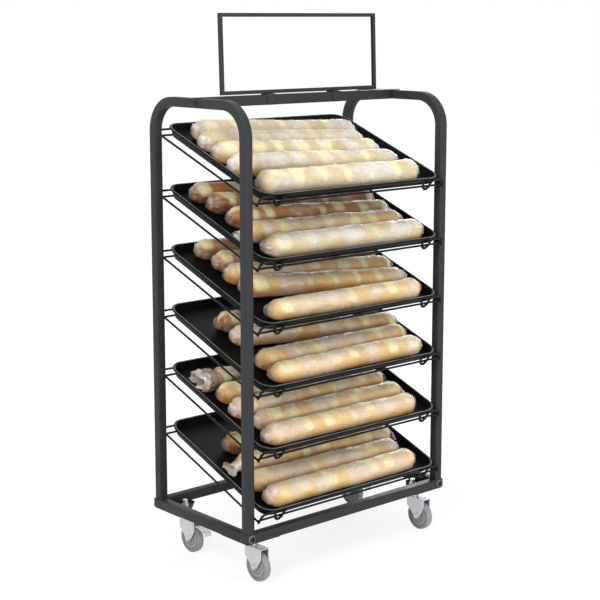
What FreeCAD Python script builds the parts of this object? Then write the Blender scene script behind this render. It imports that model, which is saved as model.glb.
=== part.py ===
import FreeCAD, Part
import math
import os
import types

import Sketcher
from FreeCAD import Placement, Rotation, Vector

# Bakery bread rack: two bent side frames on a welded base with four swivel casters, six sloping
# wire cradles that carry sheet pans of bread, and an empty sign holder on the cross bar.
# X runs to the right, Y to the back and Z up. The origin is on the floor, under the middle of the
# whole rack. Lengths are in millimetres and angles in degrees.

SIZES = {
    # side frames, one square tube each
    "rack_width": (740, "outside width over the two side frames"),
    "rack_depth": (412, "outside depth of a side frame"),
    "rack_top": (1282, "top of the side frames above the floor"),
    "tube_side": (25.4, "outside of the square tube"),
    "tube_wall": (1.5, "wall of the square tube"),
    "frame_bend": (82.3, "centre line radius of the top bends"),
    # base
    "rail_height": (122, "underside of the base rails above the floor"),
    "socket_wall": (3, "wall of the corner sockets"),
    "gusset_sheet": (3, "thickness of the gusset plates"),
    "gusset_leg": (112, "length of a gusset along each rail"),
    "gusset_end": (36, "width of a gusset's cut end"),
    "stem_inset": (60, "caster stem from the frame's outer corner, both ways"),
    "washer_radius": (12, "cup washer of a corner screw"),
    "screw_radius": (7, "head of a corner screw"),
    "washer_rise": (2.5, "height of the cup washer"),
    "screw_rise": (2.5, "height of the screw head on its washer"),
    # cross bar and sign holder
    "bar_sheet": (2, "sheet of the cross bar"),
    "bar_height": (27, "height of the cross bar's front"),
    "bar_tab": (25, "length of the end tabs below the frame's top"),
    "bar_screw_drop": (12, "bar screws below the frame's top"),
    "clip_sheet": (3, "sheet of the saddle clips"),
    "clip_width": (26, "width of a saddle clip"),
    "clip_centre": (120, "saddle clips from the middle"),
    "sign_width": (568, "outside width of the sign holder"),
    "sign_height": (215, "outside height of the sign holder"),
    "sign_channel": (10, "square outside of the sign holder's channel"),
    "sign_sheet": (2, "sheet of the sign holder's channel"),
    "sign_lean": (2, "how far the sign holder leans back"),
    # wire cradles
    "top_shelf": (180, "middle of the top cradle below the top of the side frames"),
    "bottom_shelf": (140, "middle of the bottom cradle above the underside of the base rails"),
    "shelf_tilt": (20.5, "slope of the cradles, front edge down"),
    "wire_radius": (3, "radius of the cradle wire"),
    "front_wire_gap": (0.3, "formed front wire from the pan's front wall and rim"),
    "rear_wire_gap": (1, "rear stop wire from the pan's rear wall at the rim"),
    "rear_wire_place": (4.5, "rear floor wire inside the rear edge of the pan's floor"),
    "rear_stop_rise": (11, "rear stop wire above the floor wires"),
    "front_lean": (7.6, "how far the formed wire's end legs lean inwards"),
    "front_drop": (4, "foot of the end legs below the floor wires"),
    "dip_centre": (68.6, "middle of each dip from the side wire"),
    "dip_mouth": (37, "width of a dip at its mouth"),
    "dip_foot": (17, "width of a dip at its foot"),
    "dip_drop": (6, "foot of a dip below the floor wires"),
    "wire_bend": (6, "centre line radius of the formed wire's bends"),
    # sheet pans
    "tray_side_gap": (14.6, "rim from the side frames"),
    "tray_depth": (457, "outside depth over the rim"),
    "tray_height": (25, "height over the rim"),
    "tray_place": (8, "pan's centre ahead of mid-depth, along the slope"),
    "tray_sheet": (1.2, "sheet of the pan"),
    "tray_corner": (45, "plan radius of the rim's corners"),
    "rim_width": (7, "width of the rim"),
    "rim_height": (4, "thickness of the rolled rim"),
    "wall_draft": (6, "how far the walls slope in from rim to floor"),
    "seat_gap": (0.3, "pan above the wires that carry it"),
    # bagged loaves
    "loaf_width": (60, "width of a loaf"),
    "loaf_height": (56, "height of a loaf"),
    "loaf_length": (550, "length of a loaf"),
    "loaf_gap": (0.3, "loaf above the pan's floor"),
    # swivel casters
    "wheel_radius": (41.5, "radius of the tyre"),
    "tyre_width": (22, "width of the tyre"),
    "wheel_side_gap": (1.5, "wheel from each cheek of the fork"),
    "axle_radius": (4, "radius of the axle bolt"),
    "running_gap": (0.06, "radial clearance of a turning fit"),
    "side_gap": (0.3, "clearance between faces that turn past each other"),
    "caster_trail": (32, "axle behind the stem"),
    "crown_gap": (9.8, "fork's crown above the tyre"),
    "fork_sheet": (2.2, "sheet of the fork"),
    "fork_nose": (8, "front edge of the fork's cheeks ahead of the stem"),
    "fork_tail": (26, "rear edge of the fork's cheeks behind the axle"),
    "nose_height": (26.5, "lower end of the cheeks' front edge above the axle"),
    "tail_height": (23.5, "lower end of the cheeks' rear edge above the axle"),
    "boss_radius": (9, "round end of the cheeks at the axle"),
    "race_radius": (18, "radius of the upper swivel race"),
    "race_height": (9.7, "height of the upper swivel race"),
    "kingpin_radius": (5, "kingpin in the fork's crown"),
    "pin_nut": (4, "height of the kingpin's nut under the crown"),
    "stem_radius": (6, "radius of the threaded stem"),
    "stem_gap": (0.2, "radial clearance of the stem in its gusset"),
    "hex_flats": (17, "across the flats of the stem's collar and nut"),
    "nut_height": (10, "hexagon of the domed nut"),
    "dome_height": (12.5, "dome of the nut above its hexagon"),
    "dome_radius": (7, "radius of the dome"),
    "bolt_flats": (13, "across the flats of the axle bolt's head"),
    "bolt_head": (5, "height of the axle bolt's head and nut"),
    # brake pedals of the rear casters
    "pedal_back": (18, "pedal pin behind the axle"),
    "pedal_under": (10, "pedal pin below the fork's top"),
    "pedal_pin": (2.5, "radius of the pedal pin"),
    "pedal_width": (22, "width of the pedal"),
    "pedal_sheet": (3, "thickness of the pedal"),
    "pedal_reach": (55, "tip of the pedal behind its pin"),
    "pedal_drop": (12, "tip of the pedal below its pin"),
    "pedal_lip": (8, "height of the bent tip"),
    "shoe_place": (6, "brake shoe behind the pedal pin"),
    "shoe_width": (4, "width of the brake shoe"),
    "shoe_drop": (7, "brake shoe's foot below the pedal pin"),
}

SHELVES = 6

# Loaves on each pan from the rear to the front: middle up the slope from the front edge of the
# pan's floor, in loaf widths, turn in the pan, and place to the right, as a share of the length
# that the pan's floor leaves free at each end.
LOAVES = [
    [(5.69, -6.5, -0.2), (4.56, -6.5, -0.8), (3.39, -6, -0.86), (2.13, -5, -0.86), (0.68, -1.2, -0.5)],
    [(5.73, -5, -0.4), (4.48, -7, -0.1), (3.15, -6, -0.1), (1.91, -3, -0.3), (0.68, -1, 0.1)],
    [(5.89, -8, 0.25), (4.69, -8, 0.4), (3.49, -8, 0.23), (2.29, -8, 0.12), (0.68, -1, 0.05)],
    [(4.66, -7, 0.6), (3.39, -7, 0.64), (1.76, 0, 0.26), (0.68, 0, 0.15)],
    [(5.19, -3, 0.15), (4.03, -2, -0.35), (2.89, -1, -0.46), (1.76, 0, 0), (0.68, 0, -0.4)],
    [(4.39, -5, 0.65), (2.99, -3, 0.25), (1.78, -1, -0.4), (0.68, 0, -0.4)],
]

doc = FreeCAD.newDocument("BakeryBreadRack")
sheet = doc.addObject("Spreadsheet::Sheet", "Sizes")
for row, (name, (value, meaning)) in enumerate(SIZES.items(), 1):
    sheet.set(f"A{row}", meaning)
    sheet.set(f"B{row}", str(value))
    sheet.setAlias(f"B{row}", name)
doc.recompute()


class Formula:
    """A size as its present number and as the expression that keeps it up to date."""

    def __init__(self, number, text):
        self.number = number
        self.text = text

    def __float__(self):
        return float(self.number)

    def __add__(self, other):
        other = formula(other)
        return Formula(self.number + other.number, f"({self.text} + {other.text})")

    def __sub__(self, other):
        other = formula(other)
        return Formula(self.number - other.number, f"({self.text} - {other.text})")

    def __mul__(self, other):
        other = formula(other)
        return Formula(self.number * other.number, f"({self.text} * {other.text})")

    def __truediv__(self, other):
        other = formula(other)
        return Formula(self.number / other.number, f"({self.text} / {other.text})")

    def __neg__(self):
        return Formula(-self.number, f"(-1 * {self.text})")


def formula(value):
    if isinstance(value, Formula):
        return value
    return Formula(float(value), repr(float(value)))


def sine(angle):
    return Formula(math.sin(math.radians(angle.number)), f"sin({angle.text})")


def cosine(angle):
    return Formula(math.cos(math.radians(angle.number)), f"cos({angle.text})")


S = types.SimpleNamespace(
    **{name: Formula(float(sheet.get(name)), f"Sizes.{name}") for name in SIZES}
)


def bind(thing, **sizes):
    for name, value in sizes.items():
        thing.setExpression(name, formula(value).text)


def place(thing, x=0, y=0, z=0, axis=Vector(0, 0, 1), angle=0):
    """Put a piece at x, y, z in the rack, turned about its own axis, all of it bound."""
    spot = Vector(float(formula(x)), float(formula(y)), float(formula(z)))
    thing.Placement = Placement(spot, Rotation(axis, float(formula(angle))))
    for name, value in (("x", x), ("y", y), ("z", z)):
        thing.setExpression(f"Placement.Base.{name}", formula(value).text)
    if isinstance(angle, Formula):
        thing.setExpression("Placement.Rotation.Angle", angle.text)


# ---- sketches ----


def body_named(name):
    body = doc.addObject("PartDesign::Body", name)
    body.Label = name
    return body


def sketch_on(body, plane, name, offset=None):
    found = [item for item in body.Origin.OriginFeatures if item.Role == plane]
    sketch = body.newObject("Sketcher::SketchObject", name)
    sketch.AttachmentSupport = [(found[0], "")]
    sketch.MapMode = "FlatFace"
    if offset is not None:
        sketch.setExpression("AttachmentOffset.Base.z", formula(offset).text)
    return sketch


def dimension(sketch, value, *constraint):
    value = formula(value)
    index = sketch.addConstraint(Sketcher.Constraint(*constraint, value.number))
    label = f"size_{index}"
    sketch.renameConstraint(index, label)
    sketch.setExpression(f"Constraints.{label}", value.text)


def pin_point(sketch, curve, point, x, y):
    dimension(sketch, x, "DistanceX", -1, 1, curve, point)
    dimension(sketch, y, "DistanceY", -1, 1, curve, point)


def flat_vector(x, y):
    return Vector(float(formula(x)), float(formula(y)), 0)


def polygon(sketch, corners):
    """A closed outline of straight lines through corners given as pairs of sizes."""
    first = sketch.GeometryCount
    count = len(corners)
    spots = [flat_vector(x, y) for x, y in corners]
    for index in range(count):
        line = Part.LineSegment(spots[index], spots[(index + 1) % count])
        sketch.addGeometry(line, False)
    for index in range(count):
        joint = (first + index, 2, first + (index + 1) % count, 1)
        sketch.addConstraint(Sketcher.Constraint("Coincident", *joint))
    for index, (x, y) in enumerate(corners):
        pin_point(sketch, first + index, 1, x, y)


def rectangle(sketch, width, height, x=0, y=0):
    """A rectangle about the point x, y."""
    half = formula(width) / 2
    rise = formula(height) / 2
    x = formula(x)
    y = formula(y)
    polygon(sketch, [(x - half, y - rise), (x + half, y - rise), (x + half, y + rise), (x - half, y + rise)])


def circle(sketch, radius, x=0, y=0):
    index = sketch.addGeometry(Part.Circle(flat_vector(x, y), Vector(0, 0, 1), float(radius)), False)
    pin_point(sketch, index, 3, x, y)
    dimension(sketch, radius, "Radius", index)


def hexagon(sketch, flats, x=0, y=0):
    """A regular hexagon, two of its sides facing along y."""
    around(sketch, flats / math.sqrt(3), 6, x, y)


def around(sketch, radius, sides, x=0, y=0):
    """A regular outline with its corners on a circle."""
    corners = []
    for index in range(sides):
        angle = 2 * math.pi * index / sides
        corners.append((radius * math.cos(angle) + x, radius * math.sin(angle) + y))
    polygon(sketch, corners)


def rounded_rectangle(sketch, width, depth, radius):
    """A rectangle about the sketch's origin, each corner a quarter round in three flats."""
    across = width / 2 - radius
    along = depth / 2 - radius
    centres = [(across, along), (-across, along), (-across, -along), (across, -along)]
    corners = []
    for quadrant, (x, y) in enumerate(centres):
        for step in range(4):
            angle = math.pi / 2 * (quadrant + step / 3)
            corners.append((x + radius * math.cos(angle), y + radius * math.sin(angle)))
    polygon(sketch, corners)


# ---- features ----


def pad(body, sketch, length, both_ways=False, down=False):
    feature = body.newObject("PartDesign::Pad", sketch.Name + "Pad")
    feature.Profile = sketch
    feature.SideType = "Symmetric" if both_ways else "One side"
    feature.Reversed = down
    feature.Length = float(formula(length))
    bind(feature, Length=length)
    return feature


def pocket(body, sketch, length, both_ways=False, down=False):
    feature = body.newObject("PartDesign::Pocket", sketch.Name + "Pocket")
    feature.Profile = sketch
    feature.SideType = "Symmetric" if both_ways else "One side"
    feature.Reversed = down
    feature.Length = float(formula(length))
    bind(feature, Length=length)
    return feature


def group(name, pieces):
    node = doc.addObject("Part::Compound", name)
    node.Label = name
    node.Links = pieces
    return node


def square_tube(name, outside, wall, length):
    """A straight square tube that rises from its placement, centred on it."""
    body = body_named(name)
    profile = sketch_on(body, "XY_Plane", name + "Section")
    rectangle(profile, outside, outside)
    rectangle(profile, outside - wall * 2, outside - wall * 2)
    pad(body, profile, length)
    return body


# ---- where the main pieces stand ----

half_width = S.rack_width / 2
half_depth = S.rack_depth / 2
upright_x = half_width - S.tube_side / 2
upright_y = half_depth - S.tube_side / 2
inner_x = half_width - S.tube_side
socket_side = S.tube_side + S.socket_wall * 2
base_x = half_width + S.socket_wall
base_y = half_depth + S.socket_wall
stem_x = half_width - S.stem_inset
stem_y = half_depth - S.stem_inset
gusset_base = S.rail_height - S.gusset_sheet
bar_top = S.rack_top + S.bar_sheet
tray_width = inner_x * 2 - S.tray_side_gap * 2
tray_base = S.wire_radius + S.seat_gap
rim_top = tray_base + S.tray_height
rim_base = rim_top - S.rim_height
tray_front = S.tray_depth / 2 + S.tray_place
wall_front = tray_front - S.rim_width
floor_front = wall_front - S.wall_draft
wall_rear = S.tray_depth / 2 - S.tray_place - S.rim_width
floor_rear = wall_rear - S.wall_draft

# The rack's own middle stands a little behind the origin, because the pans reach out in front.
front_reach = tray_front * cosine(S.shelf_tilt) + rim_top * sine(S.shelf_tilt)
rear_reach = base_y + S.washer_rise + S.screw_rise
middle_y = (front_reach - rear_reach) / 2

parts = []


# ---- side frames and base ----


def side_frame(name, x):
    body = body_named(name)
    path = sketch_on(body, "YZ_Plane", name + "Path")
    foot = S.rail_height
    crown = S.rack_top - S.tube_side / 2
    bend = S.frame_bend
    shoulder = crown - bend
    inner = upright_y - bend
    right = Part.Circle(flat_vector(inner, shoulder), Vector(0, 0, 1), float(bend))
    left = Part.Circle(flat_vector(-inner, shoulder), Vector(0, 0, 1), float(bend))
    path.addGeometry(Part.LineSegment(flat_vector(upright_y, foot), flat_vector(upright_y, shoulder)), False)
    path.addGeometry(Part.ArcOfCircle(right, 0, math.pi / 2), False)
    path.addGeometry(Part.LineSegment(flat_vector(inner, crown), flat_vector(-inner, crown)), False)
    path.addGeometry(Part.ArcOfCircle(left, math.pi / 2, math.pi), False)
    path.addGeometry(Part.LineSegment(flat_vector(-upright_y, shoulder), flat_vector(-upright_y, foot)), False)
    for before in range(4):
        path.addConstraint(Sketcher.Constraint("Tangent", before, 2, before + 1, 1))
    pin_point(path, 0, 1, upright_y, foot)
    pin_point(path, 4, 2, -upright_y, foot)
    pin_point(path, 1, 3, inner, shoulder)
    pin_point(path, 3, 3, -inner, shoulder)
    dimension(path, bend, "Radius", 1)
    section = sketch_on(body, "XY_Plane", name + "Section", foot)
    rectangle(section, S.tube_side, S.tube_side, 0, upright_y)
    bore = S.tube_side - S.tube_wall * 2
    rectangle(section, bore, bore, 0, upright_y)
    pipe = body.newObject("PartDesign::AdditivePipe", name + "Tube")
    pipe.Profile = section
    pipe.Spine = (path, [""])
    place(body, x, middle_y, 0)
    return body


parts.append(side_frame("side_frame_left", -upright_x))
parts.append(side_frame("side_frame_right", upright_x))

def base_rail(name, x, y, length, along_x):
    body = square_tube(name, S.tube_side, S.tube_wall, length)
    z = S.rail_height + S.tube_side / 2
    if along_x:
        place(body, x, y, z, Vector(0, 1, 0), 90)
    else:
        place(body, x, y, z, Vector(1, 0, 0), -90)
    return body


rail_x = base_x - S.tube_side / 2
rail_y = base_y - S.tube_side / 2
long_rail = base_x * 2 - socket_side * 2
short_rail = base_y * 2 - socket_side * 2
parts.append(base_rail("base_rail_front", -long_rail / 2, middle_y - rail_y, long_rail, True))
parts.append(base_rail("base_rail_rear", -long_rail / 2, middle_y + rail_y, long_rail, True))
parts.append(base_rail("base_rail_left", -rail_x, middle_y - short_rail / 2, short_rail, False))
parts.append(base_rail("base_rail_right", rail_x, middle_y - short_rail / 2, short_rail, False))

CORNERS = [("front_left", -1, -1), ("front_right", 1, -1), ("rear_right", 1, 1), ("rear_left", -1, 1)]

sockets = []
for corner, x_side, y_side in CORNERS:
    socket = square_tube(f"socket_{corner}", socket_side, S.socket_wall, S.tube_side)
    place(socket, upright_x * x_side, middle_y + upright_y * y_side, S.rail_height)
    sockets.append(socket)
parts.append(group("corner_sockets", sockets))


def gusset(name, x, y, quarter_turns):
    """A cut-off triangle under a base corner, its corner at the placement."""
    body = body_named(name)
    outline = sketch_on(body, "XY_Plane", name + "Outline")
    leg = S.gusset_leg
    polygon(outline, [(0, 0), (leg, 0), (leg, S.gusset_end), (S.gusset_end, leg), (0, leg)])
    circle(outline, S.stem_radius + S.stem_gap, S.stem_inset, S.stem_inset)
    pad(body, outline, S.gusset_sheet)
    place(body, x, y, gusset_base, Vector(0, 0, 1), 90 * quarter_turns)
    return body


for turns, (corner, x_side, y_side) in enumerate(CORNERS):
    spot_y = middle_y + half_depth * y_side
    parts.append(gusset(f"gusset_{corner}", half_width * x_side, spot_y, turns))


def screw(name, washer, head, washer_rise, head_rise):
    """A button head on its cup washer, seated at the placement and facing up its own axis."""
    body = body_named(name)
    cup = sketch_on(body, "XY_Plane", name + "Washer")
    around(cup, washer, 8)
    pad(body, cup, washer_rise)
    button = sketch_on(body, "XY_Plane", name + "Head", washer_rise)
    around(button, head, 8)
    pad(body, button, head_rise)
    return body


corner_screws = []
for corner, x_side, y_side in CORNERS:
    seat = middle_y + base_y * y_side
    head = screw(f"screw_{corner}", S.washer_radius, S.screw_radius, S.washer_rise, S.screw_rise)
    rise = S.rail_height + S.tube_side / 2
    place(head, upright_x * x_side, seat, rise, Vector(1, 0, 0), -90 * y_side)
    corner_screws.append(head)
parts.append(group("corner_screws", corner_screws))


# ---- cross bar and sign holder ----

cross_bar = body_named("cross_bar")
channel = sketch_on(cross_bar, "YZ_Plane", "BarSection")
bar_half = S.tube_side / 2
bar_foot = bar_top - S.bar_height
under = S.rack_top
skin = bar_half - S.bar_sheet
section_corners = [(-bar_half, bar_foot), (-skin, bar_foot), (-skin, under), (skin, under)]
section_corners += [(skin, bar_foot), (bar_half, bar_foot), (bar_half, bar_top), (-bar_half, bar_top)]
polygon(channel, section_corners)
pad(cross_bar, channel, inner_x * 2, both_ways=True)
strap = sketch_on(cross_bar, "XZ_Plane", "BarStrap")
strap_x = half_width + S.bar_sheet
tab_foot = S.rack_top - S.bar_tab
strap_corners = [(-strap_x, tab_foot), (-half_width, tab_foot), (-half_width, under), (half_width, under)]
strap_corners += [(half_width, tab_foot), (strap_x, tab_foot), (strap_x, bar_top), (-strap_x, bar_top)]
polygon(strap, strap_corners)
pad(cross_bar, strap, S.tube_side, both_ways=True)
place(cross_bar, 0, middle_y, 0)
parts.append(cross_bar)

bar_screws = []
for side, x_side in (("left", -1), ("right", 1)):
    head = screw(f"bar_screw_{side}", S.screw_radius, S.screw_radius * 0.8, S.bar_sheet / 2, S.bar_sheet)
    spot_z = S.rack_top - S.bar_screw_drop
    place(head, strap_x * x_side, middle_y, spot_z, Vector(0, 1, 0), 90 * x_side)
    bar_screws.append(head)
parts.append(group("cross_bar_screws", bar_screws))


def sign_clip(name, x):
    body = body_named(name)
    saddle = sketch_on(body, "YZ_Plane", name + "Saddle")
    outer = bar_half + S.clip_sheet
    crown = bar_top + S.clip_sheet
    corners = [(-outer, bar_foot), (-bar_half, bar_foot), (-bar_half, bar_top), (bar_half, bar_top)]
    corners += [(bar_half, bar_foot), (outer, bar_foot), (outer, crown), (-outer, crown)]
    polygon(saddle, corners)
    pad(body, saddle, S.clip_width, both_ways=True)
    place(body, x, middle_y, 0)
    return body


parts.append(sign_clip("sign_clip_left", -S.clip_centre))
parts.append(sign_clip("sign_clip_right", S.clip_centre))

sign = body_named("sign_frame")
ring = sketch_on(sign, "XZ_Plane", "SignRing")
inside = S.sign_channel * 2
rectangle(ring, S.sign_width, S.sign_height, 0, S.sign_height / 2)
rectangle(ring, S.sign_width - inside, S.sign_height - inside, 0, S.sign_height / 2)
pad(sign, ring, S.sign_channel, both_ways=True)
groove = sketch_on(sign, "XZ_Plane", "SignGroove")
webs = S.sign_sheet * 2
rectangle(groove, S.sign_width - webs, S.sign_height - webs, 0, S.sign_height / 2)
pocket(sign, groove, S.sign_channel - webs, both_ways=True)
lift = S.sign_channel / 2 * sine(S.sign_lean)
place(sign, 0, middle_y, bar_top + S.clip_sheet + lift, Vector(-1, 0, 0), S.sign_lean)
parts.append(sign)


# ---- wire cradles ----


def wire(points, radius, across=Vector(0, 1, 0)):
    """A wire of eight flats through points in one plane square to across, mitred where it turns."""
    start = points[0]
    up = (points[1] - start).cross(across)
    up.normalize()
    reach = radius / math.cos(math.pi / 8)
    ring = []
    for index in range(8):
        angle = math.pi / 4 * (index + 0.5)
        ring.append(start + (across * math.cos(angle) + up * math.sin(angle)) * reach)
    profile = Part.makePolygon(ring + ring[:1])
    path = Part.makePolygon(points)
    return path.makePipeShell([profile], True, True, 1)


def bent(points, radius):
    """The same route with every corner taken in two mitres, as a bend of that radius."""
    route = [points[0]]
    for before, corner, after in zip(points, points[1:], points[2:]):
        back = (before - corner).normalize()
        ahead = (after - corner).normalize()
        turn = math.pi - back.getAngle(ahead)
        step = radius * math.tan(turn / 2) * 0.8
        route += [corner + back * step, corner + ahead * step]
    route.append(points[-1])
    return route


def cradle_wires():
    """The six wires of a cradle, in its own plane: x across, y up the slope, z square to it."""
    radius = float(S.wire_radius)
    outer = float(inner_x)
    side = outer - radius
    front = float(wall_front + S.front_wire_gap)
    rear = float(wall_rear + S.rear_wire_gap)
    between = side - radius
    stop = float(S.rear_stop_rise)
    wires = []
    for x in (-side, side):
        wires.append(wire([Vector(x, -front, 0), Vector(x, rear, 0)], radius, Vector(0, 0, 1)))
    for reach, y, z in (
        (between, radius - front, 0),
        (between, float(floor_rear - S.rear_wire_place), 0),
        (outer, rear + radius, stop),
    ):
        wires.append(wire([Vector(-reach, y, z), Vector(reach, y, z)], radius))
    y = -front - radius
    top = float(rim_base - S.front_wire_gap) - radius
    low = -float(S.dip_drop)
    centre = side - float(S.dip_centre)
    mouth = float(S.dip_mouth) / 2
    foot = float(S.dip_foot) / 2
    half = [(side, -float(S.front_drop)), (side - float(S.front_lean), top)]
    half += [(centre + mouth, top), (centre + foot, low), (centre - foot, low), (centre - mouth, top)]
    route = [Vector(-x, y, z) for x, z in half] + [Vector(x, y, z) for x, z in reversed(half)]
    wires.append(wire(bent(route, float(S.wire_bend)), radius))
    return wires


wire_set = []
for index, shape in enumerate(cradle_wires(), 1):
    piece = doc.addObject("Part::Feature", f"CradleWire{index}")
    piece.Shape = shape
    wire_set.append(piece)


top_shelf = S.rack_top - S.top_shelf
shelf_pitch = (top_shelf - S.rail_height - S.bottom_shelf) / (SHELVES - 1)


def shelf_height(number):
    return top_shelf - shelf_pitch * (number - 1)


for number in range(1, SHELVES + 1):
    cradle = group(f"shelf_cradle_{number}", wire_set)
    place(cradle, 0, middle_y, shelf_height(number), Vector(1, 0, 0), S.shelf_tilt)
    parts.append(cradle)


# ---- sheet pans and loaves ----


def sheet_pan(name):
    """A pan with sloping walls and a rolled rim, in its cradle's plane."""
    body = body_named(name)
    mouth_width = tray_width - S.rim_width * 2
    mouth_depth = S.tray_depth - S.rim_width * 2
    mouth_corner = S.tray_corner - S.rim_width
    floor_width = mouth_width - S.wall_draft * 2
    floor_depth = mouth_depth - S.wall_draft * 2
    floor_corner = mouth_corner - S.wall_draft
    skin = S.tray_sheet
    floor_out = sketch_on(body, "XY_Plane", name + "FloorOut", tray_base)
    rounded_rectangle(floor_out, floor_width, floor_depth, floor_corner)
    mouth_out = sketch_on(body, "XY_Plane", name + "MouthOut", rim_top)
    rounded_rectangle(mouth_out, mouth_width, mouth_depth, mouth_corner)
    walls = body.newObject("PartDesign::AdditiveLoft", name + "Walls")
    walls.Profile = floor_out
    walls.Sections = [mouth_out]
    rim = sketch_on(body, "XY_Plane", name + "Rim", rim_base)
    rounded_rectangle(rim, tray_width, S.tray_depth, S.tray_corner)
    pad(body, rim, S.rim_height)
    floor_in = sketch_on(body, "XY_Plane", name + "FloorIn", tray_base + skin)
    rounded_rectangle(floor_in, floor_width - skin * 2, floor_depth - skin * 2, floor_corner - skin)
    mouth_in = sketch_on(body, "XY_Plane", name + "MouthIn", rim_top)
    rounded_rectangle(mouth_in, mouth_width - skin * 2, mouth_depth - skin * 2, mouth_corner - skin)
    hollow = body.newObject("PartDesign::SubtractiveLoft", name + "Hollow")
    hollow.Profile = floor_in
    hollow.Sections = [mouth_in]
    return body


def loaf(length, width, height):
    """A bagged loaf on its flat side, centred on the origin, with drawn-in ends."""
    end = length / 2
    rings = []
    for x, share in ((-end, 0.72), (-end + width / 3, 1), (end - width / 3, 1), (end, 0.72)):
        half = width / 2 * share
        rise = height * share
        ring = [(half * 0.6, 0), (half, rise * 0.45), (half * 0.6, rise)]
        ring += [(-y, z) for y, z in reversed(ring)]
        rings.append([Vector(x, y, z) for y, z in ring])
    outlines = [rings[0], rings[-1]]
    for left, right in zip(rings, rings[1:]):
        for index in range(len(left)):
            following = (index + 1) % len(left)
            outlines.append([left[index], left[following], right[following], right[index]])
    faces = [Part.Face(Part.makePolygon(points + points[:1])) for points in outlines]
    solid = Part.Solid(Part.Shell(faces))
    if solid.Volume < 0:
        solid.reverse()
    return solid


slope = S.shelf_tilt
tray_y = middle_y - S.tray_place * cosine(slope)
for number in range(1, SHELVES + 1):
    tray = sheet_pan(f"tray_{number}")
    tray_z = shelf_height(number) - S.tray_place * sine(slope)
    place(tray, 0, tray_y, tray_z, Vector(1, 0, 0), slope)
    parts.append(tray)

loaf_base = float(tray_base + S.tray_sheet + S.loaf_gap)
free_length = float(tray_width - (S.rim_width + S.wall_draft) * 2 - S.loaf_length) / 2
for number, rows in enumerate(LOAVES, 1):
    loaves = []
    for row, turn, side in rows:
        shape = loaf(float(S.loaf_length), float(S.loaf_width), float(S.loaf_height))
        shape.translate(Vector(free_length * side, 0, 0))
        shape.rotate(Vector(0, 0, 0), Vector(0, 0, 1), turn)
        shape.translate(Vector(0, float(S.loaf_width) * row - float(floor_front), loaf_base))
        # a pan holds as many rows as its depth has room for
        if shape.BoundBox.YMax < float(floor_rear):
            loaves.append(shape)
    bread = doc.addObject("Part::Feature", f"bread_{number}")
    bread.Label = f"bread_{number}"
    bread.Shape = Part.makeCompound(loaves)
    place(bread, 0, middle_y, shelf_height(number), Vector(1, 0, 0), slope)
    parts.append(bread)


# ---- casters: each is built about its stem's axis, on the floor, and trails to the front ----

crown_base = S.wheel_radius * 2 + S.crown_gap
fork_top = crown_base + S.fork_sheet
race_base = fork_top + S.side_gap
race_top = race_base + S.race_height
fork_half = S.tyre_width / 2 + S.wheel_side_gap
fork_outer = fork_half + S.fork_sheet
pin_y = -S.caster_trail - S.pedal_back
pin_z = fork_top - S.pedal_under
stem_top = S.rail_height + S.nut_height + S.dome_height / 2


def caster_stem(name):
    """Kingpin with its lower nut, upper race, hexagon collar and stem, from the bottom up."""
    body = body_named(name)
    pin_nut_top = crown_base - S.side_gap
    stages = [
        ("PinNut", pin_nut_top - S.pin_nut, S.pin_nut, hexagon, (S.hex_flats,)),
        ("Kingpin", pin_nut_top, race_base - pin_nut_top, around, (S.kingpin_radius, 8)),
        ("Race", race_base, S.race_height, circle, (S.race_radius,)),
        ("Collar", race_top, gusset_base - race_top, hexagon, (S.hex_flats,)),
        ("Stem", gusset_base, stem_top - gusset_base, around, (S.stem_radius, 8)),
    ]
    for stage, base, height, draw, form in stages:
        outline = sketch_on(body, "XY_Plane", name + stage, base)
        draw(outline, *form)
        pad(body, outline, height)
    return body


def caster_nut(name):
    body = body_named(name)
    hexed = sketch_on(body, "XY_Plane", name + "Hex", S.rail_height)
    hexagon(hexed, S.hex_flats)
    pad(body, hexed, S.nut_height)
    dome = sketch_on(body, "XY_Plane", name + "Dome", S.rail_height + S.nut_height)
    around(dome, S.dome_radius, 8)
    pad(body, dome, S.dome_height)
    bore = sketch_on(body, "XY_Plane", name + "Bore", S.rail_height)
    around(bore, S.stem_radius, 8)
    pocket(body, bore, stem_top - S.rail_height, down=True)
    return body


def tangent_point(outside, centre, radius, side):
    """Where the line from a point outside touches a circle; side picks one of the two."""
    back = outside - centre
    open_angle = math.acos(radius / back.Length) * side
    turned = Rotation(Vector(0, 0, 1), math.degrees(open_angle)).multVec(back)
    return centre + turned * (radius / back.Length)


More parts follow.
